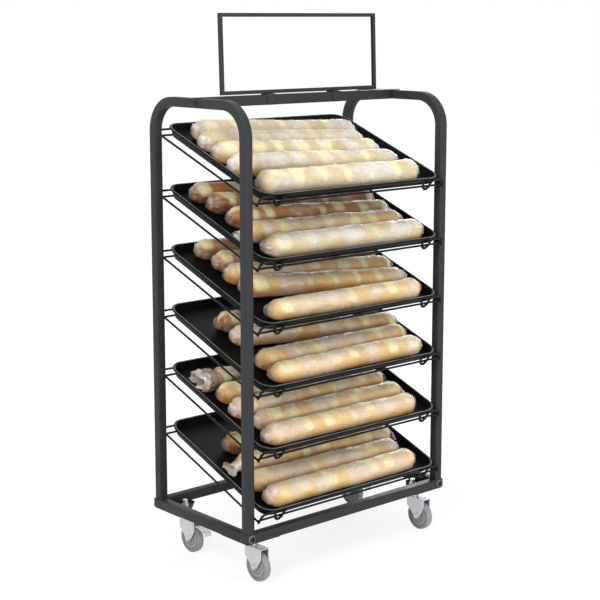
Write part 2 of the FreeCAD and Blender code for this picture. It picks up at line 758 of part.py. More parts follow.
def cheek_outline(sketch):
    """Side of the fork, drawn with the stem's axis upright: straight edges round to the axle boss."""
    nose = S.fork_nose
    tail = -S.caster_trail - S.fork_tail
    nose_foot = S.wheel_radius + S.nose_height
    tail_foot = S.wheel_radius + S.tail_height
    centre = flat_vector(-S.caster_trail, S.wheel_radius)
    radius = float(S.boss_radius)
    nose_low = flat_vector(nose, nose_foot)
    tail_low = flat_vector(tail, tail_foot)
    nose_touch = tangent_point(nose_low, centre, radius, -1)
    tail_touch = tangent_point(tail_low, centre, radius, 1)
    start = math.atan2(tail_touch.y - centre.y, tail_touch.x - centre.x)
    end = math.atan2(nose_touch.y - centre.y, nose_touch.x - centre.x)
    if start < 0:
        start += 2 * math.pi
    if end < start:
        end += 2 * math.pi
    boss = Part.Circle(centre, Vector(0, 0, 1), radius)
    sketch.addGeometry(Part.LineSegment(flat_vector(nose, fork_top), flat_vector(tail, fork_top)), False)
    sketch.addGeometry(Part.LineSegment(flat_vector(tail, fork_top), tail_low), False)
    sketch.addGeometry(Part.LineSegment(tail_low, tail_touch), False)
    sketch.addGeometry(Part.ArcOfCircle(boss, start, end), False)
    sketch.addGeometry(Part.LineSegment(nose_touch, nose_low), False)
    sketch.addGeometry(Part.LineSegment(nose_low, flat_vector(nose, fork_top)), False)
    for line, following in ((0, 1), (1, 2), (4, 5), (5, 0)):
        sketch.addConstraint(Sketcher.Constraint("Coincident", line, 2, following, 1))
    sketch.addConstraint(Sketcher.Constraint("Tangent", 2, 2, 3, 1))
    sketch.addConstraint(Sketcher.Constraint("Tangent", 3, 2, 4, 1))
    pin_point(sketch, 0, 1, nose, fork_top)
    pin_point(sketch, 1, 1, tail, fork_top)
    pin_point(sketch, 2, 1, tail, tail_foot)
    pin_point(sketch, 5, 1, nose, nose_foot)
    pin_point(sketch, 3, 3, -S.caster_trail, S.wheel_radius)
    dimension(sketch, S.boss_radius, "Radius", 3)


def caster_fork(name, with_brake):
    """Two cheeks under a flat crown, with the axle bolt through them."""
    body = body_named(name)
    cheeks = sketch_on(body, "YZ_Plane", name + "Cheeks")
    cheek_outline(cheeks)
    pad(body, cheeks, fork_outer * 2, both_ways=True)
    gap = sketch_on(body, "XZ_Plane", name + "Gap")
    rectangle(gap, fork_half * 2, crown_base, 0, crown_base / 2)
    pocket(body, gap, (S.caster_trail + S.fork_tail) * 4, both_ways=True)
    kingpin = sketch_on(body, "XY_Plane", name + "Kingpin", crown_base)
    circle(kingpin, S.kingpin_radius + S.running_gap)
    pocket(body, kingpin, S.fork_sheet, down=True)
    if with_brake:
        pivot = sketch_on(body, "YZ_Plane", name + "Pivot")
        reach = (S.pedal_pin + S.running_gap) / math.cos(math.pi / 8)
        around(pivot, reach, 8, pin_y, pin_z)
        pocket(body, pivot, fork_outer * 3, both_ways=True)
    axle = sketch_on(body, "YZ_Plane", name + "Axle")
    circle(axle, S.axle_radius, -S.caster_trail, S.wheel_radius)
    pad(body, axle, fork_outer * 2, both_ways=True)
    for side, offset in (("Head", fork_outer), ("Nut", -fork_outer - S.bolt_head)):
        end = sketch_on(body, "YZ_Plane", name + side, offset)
        hexagon(end, S.bolt_flats, -S.caster_trail, S.wheel_radius)
        pad(body, end, S.bolt_head)
    return body


def caster_wheel(name):
    """A hub with its bonded tyre, bored for the axle bolt."""
    body = body_named(name)
    side = sketch_on(body, "YZ_Plane", name + "Side")
    circle(side, S.wheel_radius, -S.caster_trail, S.wheel_radius)
    circle(side, S.axle_radius + S.running_gap, -S.caster_trail, S.wheel_radius)
    pad(body, side, S.tyre_width, both_ways=True)
    return body


def brake_pedal(name):
    """A bent lever on its cross pin, with the shoe that comes down on the tyre."""
    body = body_named(name)
    side = sketch_on(body, "YZ_Plane", name + "Side")
    half = S.pedal_sheet / 2
    over = pin_z + half
    below = pin_z - half
    heel_y = pin_y + S.pedal_pin + half
    shoe_front = pin_y - S.shoe_place
    shoe_rear = shoe_front - S.shoe_width
    shoe_foot = pin_z - S.shoe_drop
    tip_y = pin_y - S.pedal_reach
    tip_over = over - S.pedal_drop
    tip_below = below - S.pedal_drop
    lip_y = tip_y + S.pedal_sheet
    lip_foot = tip_below - S.pedal_lip
    corners = [(heel_y, below), (heel_y, over), (shoe_rear, over), (tip_y, tip_over)]
    corners += [(tip_y, lip_foot), (lip_y, lip_foot), (lip_y, tip_below), (shoe_rear, below)]
    corners += [(shoe_rear, shoe_foot), (shoe_front, shoe_foot), (shoe_front, below)]
    polygon(side, corners)
    pad(body, side, S.pedal_width, both_ways=True)
    pin = sketch_on(body, "YZ_Plane", name + "Pin")
    around(pin, S.pedal_pin, 8, pin_y, pin_z)
    pad(body, pin, fork_outer * 2 + S.fork_sheet, both_ways=True)
    return body


def at_stem(thing, x_side, y_side):
    place(thing, stem_x * x_side, middle_y + stem_y * y_side, 0)
    return thing


stems = [at_stem(caster_stem(f"stem_{corner}"), xs, ys) for corner, xs, ys in CORNERS]
parts.append(group("caster_stems", stems))
nuts = [at_stem(caster_nut(f"nut_{corner}"), xs, ys) for corner, xs, ys in CORNERS]
parts.append(group("caster_nuts", nuts))
for corner, x_side, y_side in CORNERS:
    braked = y_side > 0
    made = [
        caster_fork(f"caster_fork_{corner}", braked),
        caster_wheel(f"caster_wheel_{corner}"),
    ]
    if braked:
        made.append(brake_pedal(f"brake_pedal_{corner}"))
    for piece in made:
        parts.append(at_stem(piece, x_side, y_side))


# ---- check and write ----

doc.recompute()
for item in doc.Objects:
    if "Invalid" in item.State or "Error" in item.State:
        raise RuntimeError(f"{item.Label} did not build: {item.State}")
for part in parts:
    if part.Shape.isNull() or not part.Shape.isValid():
        raise RuntimeError(f"{part.Label} has no valid shape")

os.makedirs("parts", exist_ok=True)
for part in parts:
    part.Shape.exportStep(f"parts/{part.Label}.step")
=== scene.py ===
import math
import random
from collections import namedtuple

import bmesh
import bpy
import numpy as np
from mathutils import Matrix, Vector, noise


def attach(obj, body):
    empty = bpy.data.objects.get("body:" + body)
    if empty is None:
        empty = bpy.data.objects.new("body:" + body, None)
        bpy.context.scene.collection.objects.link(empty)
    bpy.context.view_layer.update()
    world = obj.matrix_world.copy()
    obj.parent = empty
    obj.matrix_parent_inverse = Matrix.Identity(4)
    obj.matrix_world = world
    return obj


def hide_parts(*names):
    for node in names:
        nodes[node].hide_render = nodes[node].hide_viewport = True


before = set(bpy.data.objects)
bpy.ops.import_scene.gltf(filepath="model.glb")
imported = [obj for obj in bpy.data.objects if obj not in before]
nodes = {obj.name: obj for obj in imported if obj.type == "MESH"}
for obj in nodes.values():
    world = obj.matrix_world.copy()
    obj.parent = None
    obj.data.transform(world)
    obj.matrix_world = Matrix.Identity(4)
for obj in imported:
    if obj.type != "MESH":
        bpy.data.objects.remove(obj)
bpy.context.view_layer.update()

# Lengths are in millimetres, in the frame of the CAD, and go to metres as each mesh is made.
# MIDDLE is the middle of the side frames' depth, and WIRE the radius of the cradles' wire.
MM = 0.001
MIDDLE = 8.717
TILT = math.radians(20.5)
HALF_WIDTH = 370.0
HALF_DEPTH = 206.0
TUBE = 25.4
RAIL_BASE = 122.0
RACK_TOP = 1282.0
TOP_SHELF = 1102.0
SHELF_PITCH = 168.0
SHELVES = range(1, 7)
WIRE = 3.0
CORNERS = (("front_left", -1, -1), ("front_right", 1, -1), ("rear_right", 1, 1), ("rear_left", -1, 1))


def shelf_matrix(number):
    """The plane of a cradle: x across, y up the slope, z square to it, in metres."""
    z = TOP_SHELF - SHELF_PITCH * (number - 1)
    return Matrix.Translation((0, MIDDLE * MM, z * MM)) @ Matrix.Rotation(TILT, 4, "X")


# ---- meshes ----


def mesh_object(name, points, faces, smooth=True, matrix=None):
    """A mesh from points in millimetres, placed by a matrix in metres."""
    mesh = bpy.data.meshes.new(name)
    mesh.from_pydata([tuple(c * MM for c in p) for p in points], [], faces)
    mesh.update()
    made = bmesh.new()
    made.from_mesh(mesh)
    bmesh.ops.recalc_face_normals(made, faces=made.faces)
    made.to_mesh(mesh)
    made.free()
    for face in mesh.polygons:
        face.use_smooth = smooth
    thing = bpy.data.objects.new(name, mesh)
    bpy.context.scene.collection.objects.link(thing)
    if matrix is not None:
        thing.matrix_world = matrix
    return thing


def sharp_where_steep(thing, degrees=35):
    """Smooth shading that still breaks at edges steeper than the angle."""
    made = bmesh.new()
    made.from_mesh(thing.data)
    limit = math.radians(degrees)
    for edge in made.edges:
        if len(edge.link_faces) == 2:
            edge.smooth = edge.calc_face_angle(0) < limit
    made.to_mesh(thing.data)
    made.free()
    return thing


class Shape:
    """Points and faces gathered from several parts of one piece."""

    def __init__(self):
        self.points = []
        self.faces = []

    def add(self, points, faces):
        base = len(self.points)
        self.points += [tuple(p) for p in points]
        self.faces += [tuple(base + i for i in face) for face in faces]

    def rings(self, rings, cap_first=True, cap_last=True, closed=False):
        """A skin through rings of equal count."""
        count = len(rings[0])
        points = [p for ring in rings for p in ring]
        faces = []
        steps = len(rings) if closed else len(rings) - 1
        for row in range(steps):
            following = (row + 1) % len(rings)
            for i in range(count):
                j = (i + 1) % count
                a, b = row * count + i, row * count + j
                c, d = following * count + j, following * count + i
                faces.append((a, b, c, d))
        if not closed and cap_first:
            faces.append(tuple(range(count))[::-1])
        if not closed and cap_last:
            faces.append(tuple((len(rings) - 1) * count + i for i in range(count)))
        self.add(points, faces)

    def object(self, name, smooth=True, matrix=None, sharp=35):
        thing = mesh_object(name, self.points, self.faces, smooth, matrix)
        return sharp_where_steep(thing, sharp) if smooth else thing


def round_section(radius, count=12):
    turns = np.linspace(0, 2 * math.pi, count, endpoint=False)
    return [(radius * math.cos(t), radius * math.sin(t)) for t in turns]


def rounded_rectangle(across, along, corner, steps):
    """A rectangle with round corners, whose arcs have their centres that far across and along."""
    ring = []
    for quadrant, (sx, sy) in enumerate(((1, 1), (-1, 1), (-1, -1), (1, -1))):
        for step in range(steps + 1):
            t = math.pi / 2 * (quadrant + step / steps)
            ring.append((sx * across + corner * math.cos(t), sy * along + corner * math.sin(t)))
    return ring


def square_section(side, corner=3.0):
    half = side / 2 - corner
    return rounded_rectangle(half, half, corner, 4)


def arc(centre, radius, start, end, steps):
    """Points of an arc in a plane, angles in degrees."""
    return [
        (centre[0] + radius * math.cos(math.radians(a)), centre[1] + radius * math.sin(math.radians(a)))
        for a in np.linspace(start, end, steps + 1)
    ]


def rounded_route(points, radius, steps=6):
    """A route with each corner rounded to the radius."""
    route = [Vector(points[0])]
    for before, corner, after in zip(points, points[1:], points[2:]):
        corner = Vector(corner)
        back = (Vector(before) - corner).normalized()
        ahead = (Vector(after) - corner).normalized()
        half = back.angle(ahead) / 2
        reach = radius / math.tan(half)
        centre = corner + (back + ahead).normalized() * (radius / math.sin(half))
        first = corner + back * reach - centre
        last = corner + ahead * reach - centre
        route.append(centre + first)
        for step in range(1, steps):
            route.append(centre + first.slerp(last, step / steps))
        route.append(centre + last)
    route.append(Vector(points[-1]))
    return route


def sweep(shape, route, section, across):
    """A section carried along a route in one plane; across is square to that plane."""
    across = Vector(across).normalized()
    route = [Vector(p) for p in route]
    rings = []
    for index, point in enumerate(route):
        before = route[max(index - 1, 0)]
        after = route[min(index + 1, len(route) - 1)]
        ahead = (after - before).normalized()
        side = ahead.cross(across).normalized()
        stretch = 1.0
        if 0 < index < len(route) - 1:
            turn = (point - before).angle(after - point)
            stretch = 1 / math.cos(turn / 2)
        rings.append([point + side * (x * stretch) + across * y for x, y in section])
    shape.rings(rings)


def lathe(shape, outline, centre, axis, count=48):
    """A closed outline of (radius, height) turned about an axis through a centre."""
    axis = Vector(axis).normalized()
    first = axis.orthogonal().normalized()
    second = axis.cross(first)
    centre = Vector(centre)
    rings = []
    for step in range(count):
        t = 2 * math.pi * step / count
        out = first * math.cos(t) + second * math.sin(t)
        rings.append([centre + out * r + axis * h for r, h in outline])
    shape.rings(rings, closed=True)


# A CAD node's points closer than WELD are one, faces within FLAT of each other are one face, and
# edges folded by more than FOLDED are rounded.
WELD = 0.02
FLAT = math.radians(1)
FOLDED = math.radians(30)


def softened(name, node, width):
    """A CAD node's shape again, with its edges rounded by a width as folded or cut metal has them."""
    mesh = nodes[node].data.copy()
    mesh.name = name
    made = bmesh.new()
    made.from_mesh(mesh)
    bmesh.ops.remove_doubles(made, verts=made.verts, dist=WELD * MM)
    bmesh.ops.dissolve_limit(made, angle_limit=FLAT, verts=made.verts, edges=made.edges)
    edges = [e for e in made.edges if len(e.link_faces) == 2 and e.calc_face_angle(0) > FOLDED]
    bmesh.ops.bevel(made, geom=edges, offset=width * MM, segments=2, profile=0.5, affect="EDGES",
                    clamp_overlap=True)
    made.to_mesh(mesh)
    made.free()
    mesh.materials.clear()
    for face in mesh.polygons:
        face.use_smooth = True
    thing = bpy.data.objects.new(name, mesh)
    bpy.context.scene.collection.objects.link(thing)
    return sharp_where_steep(thing, 50)


def fields(thing, *wanted):
    """Values kept at each point of a mesh, for its material."""
    for name, kind in wanted:
        thing.data.attributes.new(name, kind, "POINT")
    return [thing.data.attributes[name] for name, kind in wanted]


# ---- materials ----


def linear(red, green, blue):
    """A colour as a picture shows it, turned into the numbers that light adds up in."""
    out = []
    for value in (red, green, blue):
        value /= 255
        out.append(value / 12.92 if value <= 0.04045 else ((value + 0.055) / 1.055) ** 2.4)
    return (*out, 1.0)


def scaled(colour, factor):
    """A darker or lighter shade of a colour."""
    return (*(value * factor for value in colour[:3]), 1)


class NodeTree:
    """The nodes of a material or world. Noise scales are per metre, and bumps are in metres."""

    def __init__(self, tree):
        self.tree = tree
        self.tree.nodes.clear()

    def link(self, source, target):
        self.tree.links.new(source, target)

    def node(self, kind, inputs=(), **settings):
        """A node whose inputs are linked where they are given an output, and set otherwise."""
        made = self.tree.nodes.new("ShaderNode" + kind)
        for key, value in settings.items():
            setattr(made, key, value)
        for key, value in dict(inputs).items():
            if hasattr(value, "is_output"):
                self.link(value, made.inputs[key])
            else:
                made.inputs[key].default_value = value
        return made

    def coordinates(self):
        return self.node("TexCoord").outputs["Object"]

    def stretched(self, vector, scale):
        return self.node("Mapping", {"Vector": vector, "Scale": scale}).outputs[0]

    def noise(self, vector, scale, detail=3.0, rough=0.5, distortion=0.0):
        inputs = {"Vector": vector, "Scale": scale, "Detail": detail, "Roughness": rough}
        return self.node("TexNoise", {**inputs, "Distortion": distortion}).outputs["Fac"]

    def stretched_noise(self, vector, scale, *rest):
        return self.noise(self.stretched(vector, scale), 1.0, *rest)

    def attribute(self, name):
        """A value that the mesh keeps at each of its points."""
        return self.node("Attribute", attribute_name=name).outputs["Fac"]

    def grain(self):
        """Coordinates of a loaf's own, so that no two loaves have the same pattern."""
        return self.node("Attribute", attribute_name="grain").outputs["Vector"]

    def ramp(self, value, stops):
        made = self.node("ValToRGB", {"Fac": value})
        line = made.color_ramp
        while len(line.elements) < len(stops):
            line.elements.new(0.5)
        for element, (place, colour) in zip(line.elements, stops):
            element.position = place
            element.color = (*colour[:3], 1)
        return made.outputs["Color"]

    def range(self, value, low, high, to_low, to_high):
        inputs = {"Value": value, "From Min": low, "From Max": high, "To Min": to_low, "To Max": to_high}
        return self.node("MapRange", inputs).outputs["Result"]

    def mix(self, factor, first, second):
        """Two colours mixed. Inputs 0, 6 and 7 are the ones that the Mix node uses for colours."""
        return self.node("Mix", {0: factor, 6: first, 7: second}, data_type="RGBA").outputs[2]

    def maths(self, operation, first, second=0.0):
        return self.node("Math", {0: first, 1: second}, operation=operation).outputs[0]

    def plus(self, first, second):
        return self.maths("ADD", first, second)

    def times(self, first, second):
        return self.maths("MULTIPLY", first, second)

    def bump(self, height, strength, distance):
        inputs = {"Height": height, "Strength": strength, "Distance": distance}
        return self.node("Bump", inputs).outputs[0]


class Look(NodeTree):
    """A node material about one Principled shader."""

    def __init__(self, name, **sockets):
        self.material = bpy.data.materials.new(name)
        self.material.use_nodes = True
        super().__init__(self.material.node_tree)
        self.shader = self.node("BsdfPrincipled")
        self.output = self.node("OutputMaterial", {"Surface": self.shader.outputs[0]})
        for key, value in sockets.items():
            self.shader.inputs[key.replace("_", " ")].default_value = value

    def set(self, key, value):
        self.link(value, self.shader.inputs[key])


def powder_look(name, dark, light, rough=0.42, gloss=0.25):
    """Powder coat: a fine orange peel, with dust and rub marks that change its shade a little."""
    look = Look(name, IOR=1.5, Specular_IOR_Level=gloss)
    place = look.coordinates()
    cloud = look.noise(place, 9.0, 4.0)
    speck = look.noise(place, 900.0, 2.0)
    rub = look.stretched_noise(place, (60, 60, 9), 5.0, 0.7)
    peel = look.noise(place, 420.0, 2.0)
    tone = look.mix(cloud, dark, light)
    tone = look.mix(look.range(rub, 0.62, 0.78, 0.0, 0.5), tone, scaled(light, 1.5))
    tone = look.mix(look.range(speck, 0.3, 0.8, 0.0, 0.25), tone, scaled(dark, 0.6))
    look.set("Base Color", tone)
    look.set("Roughness", look.range(cloud, 0.3, 0.7, rough - 0.05, rough + 0.1))
    look.set("Normal", look.bump(peel, 0.25, 0.0004))
    return look.material


def pan_look(name):
    """Baked-on seasoning of a steel pan: near black, cloudy, wiped in streaks, a painted grey highlight
    on its rim.
    """
    look = Look(name, IOR=1.45, Specular_IOR_Level=0.08)
    place = look.coordinates()
    rim_highlight = look.attribute("rim_highlight")
    cloud = look.noise(place, 12.0, 5.0, 0.6)
    grease = look.noise(place, 34.0, 6.0, 0.65, 1.0)
    streak = look.stretched_noise(place, (8, 190, 190), 3.0)
    cloudy = look.range(cloud, 0.35, 0.7, 0, 1)
    tone = look.mix(cloudy, (0.0035, 0.0035, 0.004, 1), (0.013, 0.0125, 0.012, 1))
    greasy = look.range(grease, 0.55, 0.75, 0, 0.45)
    tone = look.mix(greasy, tone, (0.014, 0.0125, 0.0118, 1))
    # A painted highlight in grey along the top of the rolled rim, broken up by the grease.
    rim_highlight_share = look.times(rim_highlight, look.range(grease, 0.3, 0.6, 0.35, 1.0))
    look.set("Base Color", look.mix(rim_highlight_share, tone, (0.25, 0.25, 0.255, 1)))
    smear = look.range(streak, 0.4, 0.7, 0.0, 0.08)
    look.set("Roughness", look.plus(look.range(cloud, 0.3, 0.7, 0.36, 0.5), smear))
    look.set("Normal", look.bump(look.noise(place, 260.0, 3.0), 0.2, 0.0005))
    return look.material


def zinc_look(name):
    """Bright zinc plate with a soft spangle."""
    look = Look(name, Metallic=0.85, IOR=1.5)
    place = look.coordinates()
    cloud = look.noise(place, 60.0, 4.0)
    spangle = look.node("TexVoronoi", {"Vector": place, "Scale": 160.0}).outputs["Distance"]
    tone = look.mix(cloud, (0.52, 0.53, 0.55, 1), (0.72, 0.73, 0.75, 1))
    tone = look.mix(look.range(spangle, 0.2, 0.6, 0, 0.18), tone, (0.42, 0.43, 0.46, 1))
    look.set("Base Color", tone)
    look.set("Roughness", look.range(cloud, 0.3, 0.7, 0.3, 0.46))
    look.set("Normal", look.bump(look.noise(place, 700.0, 2.0), 0.12, 0.0003))
    return look.material


def crust_look(name, pale, gold, brown):
    """Crust under clear film: golden at its ends, and golden below with painted shade there too; pale in
    its splits, with some flour.
    """
    look = Look(name, IOR=1.45, Specular_IOR_Level=0.2, Subsurface_Weight=0.06,
                Subsurface_Scale=0.004, Coat_Weight=0.34, Coat_Roughness=0.14, Coat_IOR=1.45)
    look.shader.inputs["Subsurface Radius"].default_value = (1.0, 0.5, 0.25)
    grain = look.grain()
    cloud = look.stretched_noise(grain, (11, 20, 20), 3.0, 0.5)
    blister = look.noise(grain, 210.0, 4.0, 0.6)
    fine = look.noise(grain, 620.0, 3.0, 0.6)
    flour = look.stretched_noise(grain, (30, 44, 44), 5.0, 0.7)
    pull = look.stretched_noise(grain, (40, 75, 75), 3.0, 0.55, 1.2)
    # How brown the crust is: its own browning, with painted shade that darkens it towards the bottom.
    brown_and_shade = look.plus(look.attribute("bake"), look.range(cloud, 0.3, 0.7, -0.2, 0.2))
    brown_and_shade = look.plus(brown_and_shade, look.range(blister, 0.35, 0.7, -0.04, 0.05))
    tone = look.ramp(brown_and_shade, [(0.0, pale), (0.45, gold), (0.95, brown)])
    opened = look.plus(look.attribute("split"), look.range(cloud, 0.3, 0.7, -0.12, 0.12))
    tone = look.mix(look.range(opened, 0.2, 0.78, 0.0, 0.86), tone, linear(250, 242, 188))
    tone = look.mix(look.range(flour, 0.6, 0.78, 0.0, 0.2), tone, linear(246, 230, 196))
    look.set("Base Color", tone)
    look.set("Roughness", look.range(blister, 0.3, 0.7, 0.46, 0.66))
    height = look.plus(look.times(blister, 0.7), look.times(fine, 0.3))
    look.set("Normal", look.bump(height, 0.22, 0.0012))
    look.set("Coat Normal", look.bump(pull, 0.75, 0.004))
    return look.material


def film_look(name, tint, pink, least, most):
    """Bread bag film: clear where it clings, milky where it stands off, with milky patches and long
    bright folds that are partly painted highlight, whiter on its top.
    """
    look = Look(name, IOR=1.45, Roughness=0.15, Sheen_Weight=0.25, Sheen_Roughness=0.3)
    grain = look.grain()
    upper = look.attribute("upper")
    patch = look.stretched_noise(grain, (13, 12, 12), 2.0, 0.4, 0.4)
    crinkle = look.stretched_noise(grain, (40, 62, 62), 3.0, 0.5, 1.0)
    pull = look.stretched_noise(grain, (11, 24, 24), 1.0, 0.4, 0.8)
    shade = look.stretched_noise(grain, (22, 26, 26), 2.0, 0.5)
    look.set("Base Color", look.mix(look.range(shade, 0.35, 0.65, 0, 1), tint, pink))
    # Milky patches, partly real film and partly painted highlight, whiter towards the top.
    milky_and_highlight = look.range(patch, 0.44, 0.6, least, most)
    veil_and_highlight = look.times(milky_and_highlight, look.range(upper, 0.0, 1.0, 0.3, 1.0))
    # Long folds painted bright as highlights, on the top only.
    from_fold = look.maths("ABSOLUTE", look.maths("SUBTRACT", pull, 0.5))
    fold_highlight = look.range(from_fold, 0.0, 0.022, 0.24, 0.0)
    veil_and_highlight = look.plus(veil_and_highlight, look.times(fold_highlight, look.range(upper, 0.45, 0.95, 0.0, 1.0)))
    veil_and_highlight = look.plus(veil_and_highlight, look.times(look.attribute("loose"), 0.55))
    look.set("Alpha", look.maths("MINIMUM", veil_and_highlight, 0.9))
    look.set("Normal", look.bump(crinkle, 0.4, 0.003))
    return look.material


# Greys of a wheel from its axle (0) to its tread (1): hub, painted shade in the step round it, web with
# a painted highlight ring, painted shade in the step at its edge, and tyre.
WHEEL_GREYS_AND_PAINTED_LIGHT = [
    (0.0, 0.22), (0.3, 0.26), (0.46, 0.28), (0.49, 0.16), (0.56, 0.3), (0.6, 0.46), (0.66, 0.46),
    (0.69, 0.12), (0.73, 0.19), (0.9, 0.24), (1.0, 0.31),
]


def wheel_look(name):
    """Grey rubber on a grey plastic hub, told apart by the distance from the axle, with painted shade in
    its steps and a painted highlight ring.
    """
    look = Look(name, IOR=1.5, Specular_IOR_Level=0.4)
    place = look.coordinates()
    cloud = look.noise(place, 40.0, 4.0)
    dust = look.noise(place, 320.0, 3.0, 0.7)
    stops = [(share, (grey * 0.97, grey * 0.99, grey * 1.02)) for share, grey in WHEEL_GREYS_AND_PAINTED_LIGHT]
    tone = look.ramp(look.attribute("ring"), stops)
    tone = look.mix(look.range(cloud, 0.35, 0.7, 0, 0.3), tone, (0.21, 0.215, 0.22, 1))
    tone = look.mix(look.range(dust, 0.5, 0.8, 0, 0.3), tone, (0.36, 0.36, 0.36, 1))
    look.set("Base Color", tone)
    look.set("Roughness", look.range(dust, 0.3, 0.7, 0.42, 0.6))
    look.set("Normal", look.bump(look.noise(place, 900.0, 2.0), 0.2, 0.0003))
    return look.material


POWDER = powder_look("powder_coat", (0.034, 0.0355, 0.039, 1), (0.047, 0.049, 0.053, 1), gloss=0.1)
WIRE_COAT = powder_look("wire_coat", (0.004, 0.004, 0.005, 1), (0.009, 0.009, 0.011, 1), 0.34, 0.14)
SCREW = powder_look("screw_black", (0.014, 0.014, 0.016, 1), (0.024, 0.024, 0.026, 1), 0.3)
CUP = powder_look("cup_steel", (0.2, 0.2, 0.205, 1), (0.3, 0.3, 0.305, 1), 0.3)
PAN = pan_look("pan_seasoning")
ZINC = zinc_look("zinc_plate")
WHEEL = wheel_look("wheel_rubber")

# By how brown a loaf is: its crust at its palest, between and at its brownest, and the film of its
# bag with its two tints and its least and most milkiness, which is partly painted highlight.
CRUSTS = {
    "pale": crust_look("crust_pale", linear(222, 208, 164), linear(214, 186, 132), linear(202, 154, 80)),
    "gold": crust_look("crust_gold", linear(247, 220, 170), linear(234, 190, 116), linear(194, 126, 36)),
    "brown": crust_look("crust_brown", linear(226, 178, 100), linear(190, 124, 46), linear(122, 64, 16)),
}
FILMS = {
    "pale": film_look("bag_film_white", linear(250, 247, 241), linear(243, 232, 222), 0.1, 0.66),
    "gold": film_look("bag_film", linear(253, 247, 238), linear(247, 229, 214), 0.03, 0.5),
    "brown": film_look("bag_film_clear", linear(252, 244, 230), linear(244, 222, 198), 0.02, 0.3),
}


def dress(thing, look, body="rack"):
    """Give a new piece its surface and the body that it rides on."""
    thing.data.materials.clear()
    thing.data.materials.append(look)
    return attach(thing, body)


def paint(node, look):
    """A better surface on a CAD node that keeps its shape."""
    for place in nodes[node].material_slots:
        place.material = look


# ---- frame ----

UPRIGHT_X = HALF_WIDTH - TUBE / 2
UPRIGHT_Y = HALF_DEPTH - TUBE / 2
BEND = 82.3
CROWN = RACK_TOP - TUBE / 2
TUBE_SECTION = square_section(TUBE)

# How far edges are rounded: those of the base's tubes, and those of folded or cut sheet.
EDGE_TUBE = 1.2
EDGE_SHEET = 0.6
BASE_TUBES = ("base_rail_front", "base_rail_rear", "base_rail_left", "base_rail_right", "corner_sockets")
SHEETS = ("cross_bar", "sign_clip_left", "sign_clip_right", "sign_frame", "gusset_front_left",
          "gusset_front_right", "gusset_rear_right", "gusset_rear_left")


def frame_tube(name, x):
    """A side frame's one tube: up from the base, over both bends, and down again."""
    inner = UPRIGHT_Y - BEND
    flat = [(UPRIGHT_Y, RAIL_BASE)] + arc((inner, CROWN - BEND), BEND, 0, 90, 20)
    flat += arc((-inner, CROWN - BEND), BEND, 90, 180, 20) + [(-UPRIGHT_Y, RAIL_BASE)]
    shape = Shape()
    sweep(shape, [(x, MIDDLE + y, z) for y, z in flat], TUBE_SECTION, (1, 0, 0))
    return shape.object(name)


for side, x in (("left", -UPRIGHT_X), ("right", UPRIGHT_X)):
    tube = frame_tube(f"frame_tube_{side}", x)
    dress(tube, POWDER)
    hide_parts(f"side_frame_{side}")

for node in BASE_TUBES + SHEETS:
    piece = softened(f"{node}_finished", node, EDGE_TUBE if node in BASE_TUBES else EDGE_SHEET)
    dress(piece, POWDER)
    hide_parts(node)

# ---- corner screws ----

SCREW_X = 357.3
SCREW_Z = 134.7
SOCKET_WALL = 3.0

# Outlines as (radius, height over the socket's wall): a cup washer, and a low round head with a
# recess in it. The points of RECESS are moved onto the six flats of a key, at RECESS_FLAT of the
# recess's radius. RECESS_DISC closes its floor from wall to wall.
CUP_OUTLINE = [(7.6, 0.2), (10.9, 0.2), (10.8, 1.2), (10.2, 2.4), (9.4, 2.8), (8.9, 2.1), (8.4, 1.0)]
HEAD_OUTLINE = [
    (4.1, 1.6), (4.1, 4.5), (4.6, 4.9), (6.2, 4.6), (7.7, 3.4), (8.3, 1.6), (8.3, 0.3), (4.1, 0.3),
]
HEAD_STEPS = 48
RECESS = (0, 1, 7)
RECESS_FLAT = 0.9
RECESS_FLOOR = 1.6
RECESS_DISC = 5.0


def moved(points, offset):
    return [[a + b for a, b in zip(point, offset)] for point in points]


def socket_screw(cup, head, centre, out):
    """A cup washer, and a head with a hexagonal socket, on a wall that faces along y."""
    lathe(cup, CUP_OUTLINE, centre, out, 40)
    turned = Shape()
    lathe(turned, HEAD_OUTLINE, (0, 0, 0), out, HEAD_STEPS)
    points = []
    for index, (x, y, z) in enumerate(turned.points):
        step, place = divmod(index, len(HEAD_OUTLINE))
        if place in RECESS:
            turn = math.radians(step * (360 / HEAD_STEPS) % 60 - 30)
            x, z = x / math.cos(turn) * RECESS_FLAT, z / math.cos(turn) * RECESS_FLAT
        points.append((x, y, z))
    head.add(moved(points, centre), turned.faces)
    disc = [(x, out[1] * RECESS_FLOOR, z) for x, z in round_section(RECESS_DISC, 24)]
    head.add(moved(disc, centre), [tuple(range(len(disc)))])


cup_shape, head_shape = Shape(), Shape()
for x in (-SCREW_X, SCREW_X):
    for out in (-1, 1):
        wall = MIDDLE + out * (HALF_DEPTH + SOCKET_WALL)
        socket_screw(cup_shape, head_shape, (x, wall, SCREW_Z), (0, out, 0))
cups = cup_shape.object("corner_screw_cups")
dress(cups, CUP)
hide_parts("corner_screws")
dress(head_shape.object("corner_screw_heads"), SCREW)
paint("cross_bar_screws", SCREW)
for node in ("caster_stems", "caster_nuts"):
    paint(node, ZINC)

# ---- cradles ----

# Reaches of a cradle's wires from its middle, and how far the stop wire at its rear is raised.
INNER_X = HALF_WIDTH - TUBE
SIDE_X = INNER_X - WIRE
FRONT = 229.8
REAR = 214.5
REAR_FLOOR = 203.0
STOP_RISE = 11.0

